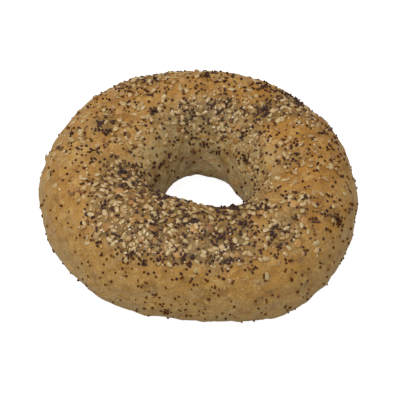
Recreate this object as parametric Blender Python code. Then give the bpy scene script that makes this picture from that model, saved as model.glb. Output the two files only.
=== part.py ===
"""A bagel: one baked ring of bread, and the larger pieces of the topping stuck to its crust.

Frame: metres, +Z up. The origin is on the surface that the bagel stands on, under the middle of
its bounding box. +X is the ring's long way, and +Y its back.

A place on the crust is two angles. "around" runs anticlockwise round the ring, from +X. "across"
runs round the ring's section: 0 at the outer rim, 90 on the crown, 180 in the hole, 270 below.
The topping is bedded a little way above the bread's own faces, so that no two solids touch.
"""

import math
import random

import bmesh
import bpy
from mathutils import Matrix, Vector

MM = 0.001

# The ring. A wave is how many times it repeats around the ring, its height and its peak's angle.
OUTLINE_RADIUS = 57.3 * MM
OUTLINE_WAVES = (
    (2, 2.1 * MM, -17),
    (3, 0.6 * MM, -48),
    (4, 0.7 * MM, -45),
    (5, 0.2 * MM, 12),
    (6, 0.5 * MM, 2),
)
HOLE_RADIUS = 17.4 * MM
HOLE_WAVES = (
    (1, 1.0 * MM, -6),
    (2, 0.4 * MM, -32),
    (3, 2.3 * MM, -34),
    (4, 0.4 * MM, 14),
    (5, 0.3 * MM, -14),
)
HEIGHT = 38.0 * MM
HEIGHT_WAVES = ((1, 0.7 * MM, 132), (2, 0.7 * MM, 44), (3, 0.8 * MM, 1))

# The ring's section: two half superellipses that meet at its widest. The lower one is cut flat by
# the baking tray, from this angle below its widest.
WAIST_SHARE = 0.44
CROWN_EXPONENT = 2.15
BELLY_EXPONENT = 2.6
TRAY_EDGE = 63
RING_STEPS = 72
SECTION_STEPS = 40

# The topping. Length, width and thickness of one piece of each kind.
BEDDING_GAP = 0.3 * MM
SESAME_SIZE = (2.8 * MM, 1.85 * MM, 0.85 * MM)
SESAME_TAPER = 0.32
POPPY_SIZE = (1.1 * MM, 0.95 * MM, 0.9 * MM)
ONION_SIZE = (3.4 * MM, 2.4 * MM, 0.5 * MM)
ONION_SIDES = 9
GARLIC_SIZE = (1.9 * MM, 1.5 * MM, 1.1 * MM)
CHIP_ROUGHNESS = 0.12

# The topping lies in patches. Where a patch's middle is, and how many pieces it has.
PATCHES = (
    ("front left of the hole", 205, 98, 17),
    ("front crown", 250, 80, 12),
    ("front right", 303, 82, 8),
    ("right", 352, 72, 7),
    ("back crown", 88, 106, 9),
    ("back left rim", 132, 82, 6),
)
# In a patch the pieces follow a sunflower's spiral, and take their kinds in this order.
SPIRAL_PITCH = 2.9 * MM
SPIRAL_TURN = 137.508
KIND_ORDER = ("sesame", "poppy", "sesame", "garlic", "poppy", "sesame", "onion", "sesame", "poppy")
NORMAL_STEP = 0.5

# Colour, roughness of each finish.
CRUST = ("crust", (0.46, 0.28, 0.11), 0.55)
SESAME = ("sesame", (0.66, 0.48, 0.25), 0.45)
POPPY = ("poppy", (0.035, 0.022, 0.03), 0.6)
ONION = ("onion", (0.30, 0.13, 0.04), 0.6)
GARLIC = ("garlic", (0.68, 0.52, 0.27), 0.6)


def wavy(mean, waves, around):
    """A length that rises and falls around the ring: its mean and its waves added up."""
    return mean + sum(
        height * math.cos(repeats * math.radians(around - peak))
        for repeats, height, peak in waves
    )


def rounded(cosine, exponent):
    """One coordinate of a superellipse of unit size, from the cosine or sine of its angle."""
    return math.copysign(abs(cosine) ** (2 / exponent), cosine)


def crust_point(around, across):
    """The place on the bread's smooth surface at these two angles, about the ring's own axis."""
    outer = wavy(OUTLINE_RADIUS, OUTLINE_WAVES, around)
    inner = wavy(HOLE_RADIUS, HOLE_WAVES, around)
    height = wavy(HEIGHT, HEIGHT_WAVES, around)
    waist = WAIST_SHARE * height
    sideways, upward = math.cos(math.radians(across)), math.sin(math.radians(across))
    if upward >= 0:
        exponent, reach = CROWN_EXPONENT, height - waist
    else:
        cut = rounded(math.sin(math.radians(TRAY_EDGE)), BELLY_EXPONENT)
        exponent, reach = BELLY_EXPONENT, waist / cut
    radius = (outer + inner) / 2 + (outer - inner) / 2 * rounded(sideways, exponent)
    level = max(0, waist + reach * rounded(upward, exponent))
    turn = math.radians(around)
    return Vector((radius * math.cos(turn), radius * math.sin(turn), level))


def slopes(around, across):
    """How the crust runs on from a place, for each degree around and for each degree across."""
    step = NORMAL_STEP
    ahead = crust_point(around + step, across) - crust_point(around - step, across)
    over = crust_point(around, across + step) - crust_point(around, across - step)
    return ahead / (2 * step), over / (2 * step)


def seat(around, across, spin, lift):
    """Where a piece of topping lies: its Z leaves the crust, its middle is lift above it."""
    ahead, over = slopes(around, across)
    outward = ahead.cross(over).normalized()
    ahead.normalize()
    facing = Matrix((ahead, outward.cross(ahead), outward)).transposed().to_4x4()
    middle = crust_point(around, across) + lift * outward
    return Matrix.Translation(middle) @ facing @ Matrix.Rotation(math.radians(spin), 4, "Z")


def finish(name, colour, roughness):
    """A plain material of one colour."""
    material = bpy.data.materials.new(name)
    material.use_nodes = True
    shader = material.node_tree.nodes["Principled BSDF"]
    shader.inputs["Base Color"].default_value = (*colour, 1)
    shader.inputs["Roughness"].default_value = roughness
    return material


def mesh_from(bm, name, material):
    """The finished mesh of a bmesh, smooth and with one material."""
    mesh = bpy.data.meshes.new(name)
    bm.to_mesh(mesh)
    bm.free()
    mesh.shade_smooth()
    mesh.materials.append(material)
    return mesh


def place(name, mesh, parent, matrix):
    """One object under the bagel's empty."""
    piece = bpy.data.objects.new(name, mesh)
    bpy.context.scene.collection.objects.link(piece)
    piece.parent = parent
    piece.matrix_local = matrix
    return piece


def bread_mesh(material):
    """A circle spun into a plain ring, whose points are then moved to the bread's surface."""
    bm = bmesh.new()
    core, tube = 2.0, 1.0
    upright = Matrix.Translation((core, 0, 0)) @ Matrix.Rotation(math.radians(90), 4, "X")
    bmesh.ops.create_circle(bm, segments=SECTION_STEPS, radius=tube, matrix=upright)
    bmesh.ops.spin(
        bm,
        geom=bm.verts[:] + bm.edges[:],
        axis=(0, 0, 1),
        angle=math.tau,
        steps=RING_STEPS,
        use_merge=True,
    )
    for vertex in bm.verts:
        x, y, z = vertex.co
        around = math.degrees(math.atan2(y, x))
        across = math.degrees(math.atan2(z, math.hypot(x, y) - core))
        vertex.co = crust_point(around, across)
    bmesh.ops.recalc_face_normals(bm, faces=bm.faces)
    return mesh_from(bm, "bread_ring", material)


def sesame_mesh(material):
    """A flat drop: a ball laid on its side, given three radii and drawn in towards one end."""
    bm = bmesh.new()
    bmesh.ops.create_uvsphere(bm, u_segments=8, v_segments=6, radius=0.5)
    length, width, thickness = SESAME_SIZE
    for vertex in bm.verts:
        side, end, top = vertex.co.y, vertex.co.z, -vertex.co.x
        narrowing = 1 - SESAME_TAPER * (end + 0.5)
        vertex.co = (length * end, width * side * narrowing, thickness * top)
    return mesh_from(bm, "sesame_seed", material)


def poppy_mesh(material):
    """A bean-round seed, a little longer than it is wide."""
    bm = bmesh.new()
    bmesh.ops.create_icosphere(bm, subdivisions=2, radius=0.5)
    bmesh.ops.scale(bm, vec=POPPY_SIZE, verts=bm.verts)
    return mesh_from(bm, "poppy_seed", material)


def onion_mesh(material):
    """A thin dried flake with an uneven edge, bent to lie along the crown."""
    bm = bmesh.new()
    bmesh.ops.create_circle(bm, cap_ends=True, cap_tris=True, segments=ONION_SIDES, radius=0.5)
    uneven = random.Random(3)
    for vertex in bm.verts:
        vertex.co *= 1 - 2 * CHIP_ROUGHNESS * uneven.random()
    top = bmesh.ops.extrude_face_region(bm, geom=bm.faces[:])["geom"]
    raised = [item for item in top if isinstance(item, bmesh.types.BMVert)]
    bmesh.ops.translate(bm, vec=(0, 0, 1), verts=raised)
    bmesh.ops.translate(bm, vec=(0, 0, -0.5), verts=bm.verts)
    bmesh.ops.scale(bm, vec=ONION_SIZE, verts=bm.verts)
    crown_radius = HEIGHT / 2
    for vertex in bm.verts:
        vertex.co.z -= vertex.co.x**2 / (2 * crown_radius)
    bmesh.ops.recalc_face_normals(bm, faces=bm.faces)
    return mesh_from(bm, "onion_flake", material)


def garlic_mesh(material):
    """A coarse granule: a ball whose points are pushed in unevenly."""
    bm = bmesh.new()
    bmesh.ops.create_icosphere(bm, subdivisions=2, radius=0.5)
    uneven = random.Random(5)
    for vertex in bm.verts:
        vertex.co *= 1 - CHIP_ROUGHNESS * uneven.random()
    bmesh.ops.scale(bm, vec=GARLIC_SIZE, verts=bm.verts)
    return mesh_from(bm, "garlic_granule", material)


def spiral(around, across, number):
    """The angles of one place of a patch, counted outwards from the patch's middle."""
    distance = SPIRAL_PITCH * math.sqrt(number + 0.5)
    turn = math.radians(number * SPIRAL_TURN)
    ahead, over = slopes(around, across)
    return (
        around + distance * math.cos(turn) / ahead.length,
        across + distance * math.sin(turn) / over.length,
    )


def lay_topping(kinds, parent):
    """Fill each patch in turn, with a new node for every piece."""
    laid = {kind: 0 for kind in kinds}
    for _, middle_around, middle_across, pieces in PATCHES:
        for number in range(pieces):
            around, across = spiral(middle_around, middle_across, number)
            so_far = sum(laid.values())
            kind = KIND_ORDER[so_far % len(KIND_ORDER)]
            mesh, (_, _, thickness) = kinds[kind]
            laid[kind] += 1
            bedding = seat(around, across, so_far * SPIRAL_TURN, BEDDING_GAP + thickness / 2)
            place(f"{mesh.name}_{laid[kind]:02}", mesh, parent, bedding)


def middle_of(mesh):
    """The middle of a mesh's bounding box, level with the ground."""
    xs = [vertex.co.x for vertex in mesh.vertices]
    ys = [vertex.co.y for vertex in mesh.vertices]
    return Vector(((min(xs) + max(xs)) / 2, (min(ys) + max(ys)) / 2, 0))


def main():
    for leftover in list(bpy.data.objects):
        bpy.data.objects.remove(leftover)

    bread = bread_mesh(finish(*CRUST))
    bagel = bpy.data.objects.new("bagel", None)
    bpy.context.scene.collection.objects.link(bagel)
    bagel.location = -middle_of(bread)
    place("bread_ring", bread, bagel, Matrix.Identity(4))

    kinds = {
        "sesame": (sesame_mesh(finish(*SESAME)), SESAME_SIZE),
        "poppy": (poppy_mesh(finish(*POPPY)), POPPY_SIZE),
        "onion": (onion_mesh(finish(*ONION)), ONION_SIZE),
        "garlic": (garlic_mesh(finish(*GARLIC)), GARLIC_SIZE),
    }
    lay_topping(kinds, bagel)


main()
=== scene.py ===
"""The visual model of a seeded bagel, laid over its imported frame.

Frame: metres, +Z up, the origin under the middle of the ring, +Y to the back.

A place on the crust is two angles in degrees. "around" runs anticlockwise round the ring, from
+X. "across" runs round the ring's section: 0 at the outer rim, 90 on the crown, 180 in the hole.
"""

import logging
import math
from dataclasses import dataclass, field
from enum import Enum

import bpy
import numpy as np
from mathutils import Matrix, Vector


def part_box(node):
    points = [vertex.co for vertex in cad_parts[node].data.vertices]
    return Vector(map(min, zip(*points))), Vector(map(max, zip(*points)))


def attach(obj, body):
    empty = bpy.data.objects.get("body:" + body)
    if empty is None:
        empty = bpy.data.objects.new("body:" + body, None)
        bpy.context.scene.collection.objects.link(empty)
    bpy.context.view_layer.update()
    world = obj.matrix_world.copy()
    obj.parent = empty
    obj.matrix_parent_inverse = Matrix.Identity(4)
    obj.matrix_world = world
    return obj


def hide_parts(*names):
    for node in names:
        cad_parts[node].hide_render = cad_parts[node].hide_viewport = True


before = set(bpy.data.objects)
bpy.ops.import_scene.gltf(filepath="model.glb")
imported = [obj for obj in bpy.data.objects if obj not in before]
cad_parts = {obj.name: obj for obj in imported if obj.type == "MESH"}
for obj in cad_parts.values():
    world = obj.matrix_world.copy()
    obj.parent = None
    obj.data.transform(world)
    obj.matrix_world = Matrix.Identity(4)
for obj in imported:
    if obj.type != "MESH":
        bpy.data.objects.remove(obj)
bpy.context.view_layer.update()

MM = 0.001
GOLDEN_ANGLE = math.radians(137.508)
HALF_CELL = 0.25  # half the width of the cells that grains fall in, in degrees
LOWEST_SEAT = -45.0  # across, in degrees
HOLE_SEAT = 215.0
LOW_SIDE = (15.0, 58.0)  # across: below the first all is low, above the second nothing is
COAT_ROUGHNESS = 0.14
KNOT_DRAW = 99  # these three only keep the random draws apart
GRAIN_DRAW = 7
FIRST_TOPPING_DRAW = 60
LOG = logging.getLogger("bagel")

Array = np.ndarray
Colour = tuple[float, float, float, float]


class Grain(Enum):
    """The kinds of topping; the value is the start of the frame's node names."""

    SESAME = "sesame_seed"
    POPPY = "poppy_seed"
    ONION = "onion_flake"
    GARLIC = "garlic_granule"
    CHIP = "toasted_chip"
    # Pale crumbs, laid where glints fall: partly painted highlights.
    CRUMB_AND_GLINT = "pale_crumb_and_glint"


class ToneSource(Enum):
    """Where a material reads how light one seed is."""

    ATTRIBUTE = "attribute"
    PLACE = "place"


# ---------------------------------------------------------------- the form


@dataclass(frozen=True)
class Wave:
    """One wave of a length round the ring: how often it repeats, its height, its peak's angle."""

    repeats: int
    height: float
    peak: float


def wavy(mean: float, waves: tuple[Wave, ...], around: Array) -> Array:
    """A length round the ring: mean + the sum of height * cos(repeats * (around - peak)).

    Args:
        mean: the length without its waves, in metres.
        waves: the waves to add.
        around: ring angles in degrees.

    Returns:
        The length at each angle, in metres.
    """
    total = np.full(np.shape(around), mean, float)
    for wave in waves:
        total += wave.height * np.cos(wave.repeats * np.radians(around - wave.peak))
    return total


def signed_power(value: Array, power: float) -> Array:
    """sign(value) * |value| ** power, which makes a superellipse from a circle."""
    return np.sign(value) * np.abs(value) ** power


def unit(vectors: Array) -> Array:
    """The same vectors, each one long."""
    return vectors / np.maximum(np.linalg.norm(vectors, axis=-1, keepdims=True), 1e-12)


def smooth_step(low: float, high: float, value: Array) -> Array:
    """0 below low, 1 above high, and 3t^2 - 2t^3 between them."""
    share = np.clip((value - low) / (high - low), 0, 1)
    return share * share * (3 - 2 * share)


def rim_angle(across: Array) -> Array:
    """Section angles from -90 under the outer rim, by 0 at the rim, to 270."""
    return (across + 90) % 360 - 90


@dataclass(frozen=True)
class RippleField:
    """A random smooth height over space: plane waves of about one length, added up."""

    length: float
    height: float
    seed: int
    waves: int = 28

    def at(self, points: Array) -> Array:
        """height * sqrt(2 / waves) * the sum of sin(k . p + phase), k in every direction.

        Args:
            points: places in metres, in an array whose last axis is x, y, z.

        Returns:
            The height at each place, in metres, with `height` as its usual size.
        """
        draw = np.random.default_rng(self.seed)
        directions = unit(draw.normal(size=(self.waves, 3)))
        pitch = math.tau / self.length * draw.uniform(0.65, 1.4, self.waves)
        phases = draw.uniform(0, math.tau, self.waves)
        total = np.zeros(points.shape[:-1])
        for direction, k, phase in zip(directions, pitch, phases, strict=True):
            total += np.sin(points @ (k * direction) + phase)
        return self.height * math.sqrt(2 / self.waves) * total


@dataclass
class RingForm:
    """The smooth ring that the frame's bread node is cut from, fitted to that node's box."""

    low: Vector
    high: Vector
    outline_radius: float = 57.3 * MM
    outline_waves: tuple[Wave, ...] = (
        Wave(2, 2.1 * MM, -17),
        Wave(3, 0.6 * MM, -48),
        Wave(4, 0.7 * MM, -45),
        Wave(5, 0.2 * MM, 12),
        Wave(6, 0.5 * MM, 2),
    )
    hole_radius: float = 17.4 * MM
    hole_waves: tuple[Wave, ...] = (
        Wave(1, 1.0 * MM, -6),
        Wave(2, 0.4 * MM, -32),
        Wave(3, 2.3 * MM, -34),
        Wave(4, 0.4 * MM, 14),
        Wave(5, 0.3 * MM, -14),
    )
    height: float = 38.0 * MM
    height_waves: tuple[Wave, ...] = (
        Wave(1, 0.7 * MM, 132),
        Wave(2, 0.7 * MM, 44),
        Wave(3, 0.8 * MM, 1),
    )
    waist_share: float = 0.44
    crown_exponent: float = 2.15
    belly_exponent: float = 2.6
    tray_edge: float = 63.0
    scale: Array = field(default_factory=lambda: np.ones(3))
    shift: Array = field(default_factory=lambda: np.zeros(3))

    def __post_init__(self) -> None:
        """Scale and shift the form until its box is the node's box."""
        around, across = np.meshgrid(np.arange(0, 360, 1.0), np.arange(0, 360, 1.0))
        points = self.point(around, across).reshape(-1, 3)
        own_low, own_high = points.min(0), points.max(0)
        low, high = np.array(self.low), np.array(self.high)
        self.scale = (high - low) / (own_high - own_low)
        self.shift = low - own_low * self.scale

    def point(self, around: Array, across: Array) -> Array:
        """The place on the smooth ring at these two angles.

        The radius is the middle of the two rims plus half their gap times cos(across) made a
        superellipse's; the level is the waist's plus the reach above or below it times
        sin(across) likewise. The floor cuts the lower half flat.

        Args:
            around: ring angles in degrees.
            across: section angles in degrees.

        Returns:
            Places in metres, with x, y, z on the last axis.
        """
        outer = wavy(self.outline_radius, self.outline_waves, around)
        inner = wavy(self.hole_radius, self.hole_waves, around)
        height = wavy(self.height, self.height_waves, around)
        waist = self.waist_share * height
        sideways, upward = np.cos(np.radians(across)), np.sin(np.radians(across))
        cut = math.sin(math.radians(self.tray_edge)) ** (2 / self.belly_exponent)
        crown = upward >= 0
        power = np.where(crown, 2 / self.crown_exponent, 2 / self.belly_exponent)
        reach = np.where(crown, height - waist, waist / cut)
        radius = (outer + inner) / 2 + (outer - inner) / 2 * signed_power(sideways, power)
        level = np.maximum(waist + reach * signed_power(upward, power), 0)
        turn = np.radians(around)
        place = np.stack([radius * np.cos(turn), radius * np.sin(turn), level], axis=-1)
        return place * self.scale + self.shift

    def steps(self, around: Array, across: Array, step: float) -> tuple[Array, Array]:
        """How far the smooth place moves as each angle goes from this much below to above.

        Args:
            around: ring angles in degrees.
            across: section angles in degrees.
            step: half of each change, in degrees.

        Returns:
            The moves along the ring and across the section, in metres.
        """
        ahead = self.point(around + step, across) - self.point(around - step, across)
        over = self.point(around, across + step) - self.point(around, across - step)
        return ahead, over

    def directions(self, around: Array, across: Array) -> tuple[Array, Array, Array]:
        """The unit vectors along the ring, across the section and out of the crust there."""
        ahead, over = self.steps(around, across, 0.6)
        ahead = unit(ahead)
        outward = unit(np.cross(ahead, over))
        return ahead, np.cross(outward, ahead), outward

    def even_across(self, count: int) -> Array:
        """Section angles that divide the section's outline into equal lengths.

        Args:
            count: how many angles.

        Returns:
            The angles in degrees, the last one short of a full turn.
        """
        fine = np.linspace(0, 360, 1441)
        outline = self.point(np.full_like(fine, 20.0), fine)
        run = np.r_[0, np.cumsum(np.linalg.norm(np.diff(outline, axis=0), axis=1))]
        return np.interp(np.linspace(0, run[-1], count, endpoint=False), run, fine)


@dataclass(frozen=True)
class Spot:
    """A place where something is thicker, or thinner where the strength is below 0.

    The middle is two angles, and the reach is in metres.
    """

    around: float
    across: float
    reach: float
    strength: float


def spotted(form: RingForm, spots: tuple[Spot, ...], points: Array) -> Array:
    """The sum over the spots of strength * exp(-distance^2 / (2 reach^2)).

    Args:
        form: the ring that the spots lie on.
        spots: the spots to add.
        points: places in metres.

    Returns:
        The sum at each place.
    """
    total = np.zeros(points.shape[:-1])
    for spot in spots:
        middle = form.point(np.array(spot.around), np.array(spot.across))
        distance = np.linalg.norm(points - middle, axis=-1)
        total += spot.strength * np.exp(-((distance / spot.reach) ** 2) / 2)
    return total


@dataclass
class CrustSurface:
    """The ring's baked skin: the smooth form, raised by the topping's bed and made uneven."""

    form: RingForm
    lift: float = 0.28 * MM
    base_fade: float = 3.0 * MM
    layers: tuple[RippleField, ...] = (
        RippleField(17 * MM, 0.20 * MM, 11),
        RippleField(8.0 * MM, 0.13 * MM, 12),
        RippleField(3.4 * MM, 0.05 * MM, 13),
        RippleField(1.8 * MM, 0.03 * MM, 14),
    )

    def point(self, around: Array, across: Array) -> Array:
        """The place on the crust: the smooth place, moved out by the lift and the ripples."""
        smooth = self.form.point(around, across)
        _, _, outward = self.form.directions(around, across)
        rise = self.lift + sum(layer.at(smooth) for layer in self.layers)
        kept = smooth_step(0, self.base_fade, smooth[..., 2])
        return smooth + (rise * kept)[..., None] * outward


# ---------------------------------------------------------------- meshes


def ring_faces(rows: int, columns: int) -> Array:
    """The quads of a grid that closes on itself both ways, as rows of four vertex numbers."""
    row, column = np.meshgrid(np.arange(rows), np.arange(columns), indexing="ij")
    next_row, next_column = (row + 1) % rows, (column + 1) % columns
    quads = [
        row * columns + column,
        next_row * columns + column,
        next_row * columns + next_column,
        row * columns + next_column,
    ]
    return np.stack(quads, axis=-1).reshape(-1, 4)


def ball_faces(rings: int, sides: int) -> tuple[Array, Array]:
    """The quads and triangles of a closed ball of rings between two poles.

    The rings' vertices come first, ring by ring, then the start's pole and the end's.

    Args:
        rings: how many rings of vertices lie between the poles.
        sides: how many vertices each ring has.

    Returns:
        The quads, four vertex numbers each, and the triangles at the poles, three each.
    """
    row, column = np.meshgrid(np.arange(rings - 1), np.arange(sides), indexing="ij")
    after = (column + 1) % sides
    quads = [
        row * sides + column,
        row * sides + after,
        (row + 1) * sides + after,
        (row + 1) * sides + column,
    ]
    side = np.arange(sides)
    turned = (side + 1) % sides
    start, end = rings * sides, rings * sides + 1
    last = (rings - 1) * sides
    first_cap = np.stack([np.full(sides, start), turned, side], axis=-1)
    last_cap = np.stack([np.full(sides, end), last + side, last + turned], axis=-1)
    return np.stack(quads, axis=-1).reshape(-1, 4), np.concatenate([first_cap, last_cap])


def mesh_of(name: str, points: Array, polygons: list[Array]) -> bpy.types.Mesh:
    """A smooth-shaded mesh from whole arrays.

    Args:
        name: the mesh's name.
        points: vertex places, one row each.
        polygons: arrays of vertex numbers, each array holding polygons of one size.

    Returns:
        The new mesh.
    """
    mesh = bpy.data.meshes.new(name)
    corners = np.concatenate([block.reshape(-1) for block in polygons])
    sizes = np.concatenate([np.full(len(block), block.shape[1]) for block in polygons])
    starts = np.r_[0, np.cumsum(sizes)[:-1]]
    mesh.vertices.add(len(points))
    mesh.vertices.foreach_set("co", points.astype(np.float32).reshape(-1))
    mesh.loops.add(len(corners))
    mesh.loops.foreach_set("vertex_index", corners.astype(np.int32))
    mesh.polygons.add(len(sizes))
    mesh.polygons.foreach_set("loop_start", starts.astype(np.int32))
    mesh.polygons.foreach_set("use_smooth", np.ones(len(sizes), bool))
    mesh.update(calc_edges=True)
    mesh.validate()
    return mesh


def add_tones(mesh: bpy.types.Mesh, name: str, tones: Array) -> None:
    """Store one colour for each vertex under this attribute name."""
    layer = mesh.color_attributes.new(name, "FLOAT_COLOR", "POINT")
    layer.data.foreach_set("color", tones.astype(np.float32).reshape(-1))


def shown(name: str, data: bpy.types.ID) -> bpy.types.Object:
    """A new object in the scene, which holds this mesh, light or camera."""
    piece = bpy.data.objects.new(name, data)
    bpy.context.scene.collection.objects.link(piece)
    return piece


# ---------------------------------------------------------------- node trees


class Board:
    """Adds nodes to one node tree and joins them."""

    def __init__(self, tree: bpy.types.NodeTree) -> None:
        """Start with this tree."""
        self.tree = tree
        self.count = 0

    def feed(self, socket: bpy.types.NodeSocket, value: object) -> None:
        """Join a socket to another one, or give it a constant."""
        if isinstance(value, bpy.types.NodeSocket):
            self.tree.links.new(value, socket)
        else:
            socket.default_value = value

    def add(self, kind: str, settings: dict, inputs: dict) -> bpy.types.Node:
        """A new node.

        Args:
            kind: the node's type name.
            settings: its properties.
            inputs: what its sockets get, by name or number: a constant or another socket.

        Returns:
            The node.
        """
        node = self.tree.nodes.new(kind)
        node.location = (190 * (self.count % 12), -260 * (self.count // 12))
        self.count += 1
        for name, value in settings.items():
            setattr(node, name, value)
        for key, value in inputs.items():
            self.feed(node.inputs[key], value)
        return node

    def maths(self, operation: str, first: object, second: object = 0.0) -> bpy.types.NodeSocket:
        """The result of one sum, difference, product or the like."""
        node = self.add("ShaderNodeMath", {"operation": operation}, {0: first, 1: second})
        return node.outputs[0]

    def times(self, first: object, second: object) -> bpy.types.NodeSocket:
        """The two multiplied."""
        return self.maths("MULTIPLY", first, second)

    def ease(self, value: object, low: object, high: object) -> bpy.types.NodeSocket:
        """A smooth step from 0 at low to 1 at high."""
        settings = {"interpolation_type": "SMOOTHSTEP"}
        node = self.add("ShaderNodeMapRange", settings, {0: value, 1: low, 2: high})
        return node.outputs[0]

    def span(self, value: object, low: float, high: float) -> bpy.types.NodeSocket:
        """A mask from 0 to 1, stretched to run from low to high."""
        node = self.add("ShaderNodeMapRange", {}, {0: value, 3: low, 4: high})
        return node.outputs[0]

    def blend(self, share: object, first: object, second: object) -> bpy.types.NodeSocket:
        """The first colour, turning into the second as the share goes from 0 to 1."""
        node = self.add("ShaderNodeMix", {"data_type": "RGBA"}, {0: share, 6: first, 7: second})
        return node.outputs[2]

    def place(self) -> bpy.types.NodeSocket:
        """The point's own place in the object, in metres."""
        return self.add("ShaderNodeTexCoord", {}, {}).outputs["Object"]

    def noise(self, vector: object, scale: object, detail: float) -> bpy.types.NodeSocket:
        """A cloudy value about 0.5, with this many features to a metre."""
        inputs = {"Vector": vector, "Scale": scale, "Detail": detail, "Roughness": 0.55}
        return self.add("ShaderNodeTexNoise", {}, inputs).outputs["Fac"]

    def group(self, tree: bpy.types.NodeTree, inputs: dict) -> bpy.types.NodeSocket:
        """The first output of one shared pattern, with its own values."""
        return self.add("ShaderNodeGroup", {"node_tree": tree}, inputs).outputs[0]


def new_group(name: str, inputs: dict[str, float], output: str) -> tuple[Board, dict]:
    """An empty shader group, with a Vector input, number inputs and one number output.

    Args:
        name: the group's name.
        inputs: the number inputs and their usual values.
        output: the output's name.

    Returns:
        A board on the group's tree, and its sockets: each input's, and the output's own.
    """
    tree = bpy.data.node_groups.new(name, "ShaderNodeTree")
    tree.interface.new_socket("Vector", in_out="INPUT", socket_type="NodeSocketVector")
    for key, value in inputs.items():
        socket = tree.interface.new_socket(key, in_out="INPUT", socket_type="NodeSocketFloat")
        socket.default_value = value
    tree.interface.new_socket(output, in_out="OUTPUT", socket_type="NodeSocketFloat")
    board = Board(tree)
    source = board.add("NodeGroupInput", {}, {})
    target = board.add("NodeGroupOutput", {}, {})
    sockets = {key: source.outputs[key] for key in ("Vector", *inputs)}
    sockets["out"] = target.inputs[output]
    return board, sockets


def mottle_group() -> bpy.types.NodeTree:
    """Cloudy patches of about one size: a mask with soft edges."""
    board, ends = new_group("mottle", {"Size": 0.01, "Low": 0.4, "High": 0.6}, "Mask")
    scale = board.maths("DIVIDE", 1.0, ends["Size"])
    cloud = board.noise(ends["Vector"], scale, 4.0)
    board.feed(ends["out"], board.ease(cloud, ends["Low"], ends["High"]))
    return board.tree


def grain_group() -> bpy.types.NodeTree:
    """The fine unevenness of a baked skin: a height from three sizes of cloud."""
    board, ends = new_group("fine_grain", {"Size": 0.001, "Sharpness": 0.5}, "Height")
    scale = board.maths("DIVIDE", 1.0, ends["Size"])
    coarse = board.noise(ends["Vector"], scale, 2.0)
    finer = board.noise(ends["Vector"], board.times(scale, 3.1), 3.0)
    ridge = board.maths("ABSOLUTE", board.maths("SUBTRACT", finer, 0.5))
    sharp = board.times(ridge, ends["Sharpness"])
    board.feed(ends["out"], board.maths("SUBTRACT", coarse, sharp))
    return board.tree


def speck_group() -> bpy.types.NodeTree:
    """Small round specks, one to a random share of the cells: a mask."""
    usual = {"Spacing": 0.002, "Radius": 0.25, "Share": 0.5}
    board, ends = new_group("specks", usual, "Mask")
    scale = board.maths("DIVIDE", 1.0, ends["Spacing"])
    cells = board.add("ShaderNodeTexVoronoi", {}, {"Vector": ends["Vector"], "Scale": scale})
    inner = board.times(ends["Radius"], 0.6)
    dot = board.ease(cells.outputs["Distance"], ends["Radius"], inner)
    chance = board.add("ShaderNodeSeparateColor", {}, {0: cells.outputs["Color"]}).outputs[0]
    chosen = board.maths("LESS_THAN", chance, ends["Share"])
    board.feed(ends["out"], board.times(dot, chosen))
    return board.tree


@dataclass(frozen=True)
class Patches:
    """Cloudy patches: their width, where the cloud's mask starts and is full, and its strength."""

    size: float
    low: float
    high: float
    strength: float = 1.0


@dataclass(frozen=True)
class Specks:
    """Round specks: a cell's width, the speck's radius in cells, the share of cells with one."""

    spacing: float
    radius: float
    share: float = 1.0
    strength: float = 1.0


class Patterns:
    """The patterns that more than one finish uses, each made once."""

    def __init__(self) -> None:
        """Make the groups."""
        self.mottle_tree = mottle_group()
        self.grain_tree = grain_group()
        self.speck_tree = speck_group()

    def patches(self, board: Board, vector: object, kind: Patches) -> bpy.types.NodeSocket:
        """A mask of these patches, on a board."""
        inputs = {"Vector": vector, "Size": kind.size, "Low": kind.low, "High": kind.high}
        return board.group(self.mottle_tree, inputs)

    def specks(
        self, board: Board, vector: object, kind: Specks, share: object
    ) -> bpy.types.NodeSocket:
        """A mask of these specks, in this share of the cells."""
        inputs = {"Vector": vector, "Spacing": kind.spacing, "Radius": kind.radius, "Share": share}
        return board.group(self.speck_tree, inputs)

    def grain(
        self, board: Board, vector: object, size: float, sharpness: float
    ) -> bpy.types.NodeSocket:
        """The height of a fine grain of this size."""
        inputs = {"Vector": vector, "Size": size, "Sharpness": sharpness}
        return board.group(self.grain_tree, inputs)


def new_material(name: str) -> tuple[bpy.types.Material, Board, bpy.types.Node]:
    """A material with only its Principled shader and its output.

    Args:
        name: the material's name.

    Returns:
        The material, a board on its tree, and the shader's node.
    """
    material = bpy.data.materials.new(name)
    material.use_nodes = True
    tree = material.node_tree
    tree.nodes.clear()
    board = Board(tree)
    shader = board.add("ShaderNodeBsdfPrincipled", {}, {})
    output = board.add("ShaderNodeOutputMaterial", {}, {})
    tree.links.new(shader.outputs[0], output.inputs[0])
    return material, board, shader


def add_bump(board: Board, shader: bpy.types.Node, height: object, depth: float) -> None:
    """Turn a height from 0 to 1 into the shader's normal, at this depth in metres."""
    inputs = {"Height": height, "Distance": depth, "Strength": 1.0}
    bump = board.add("ShaderNodeBump", {}, inputs)
    board.feed(shader.inputs["Normal"], bump.outputs[0])


# ---------------------------------------------------------------- finishes


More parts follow.
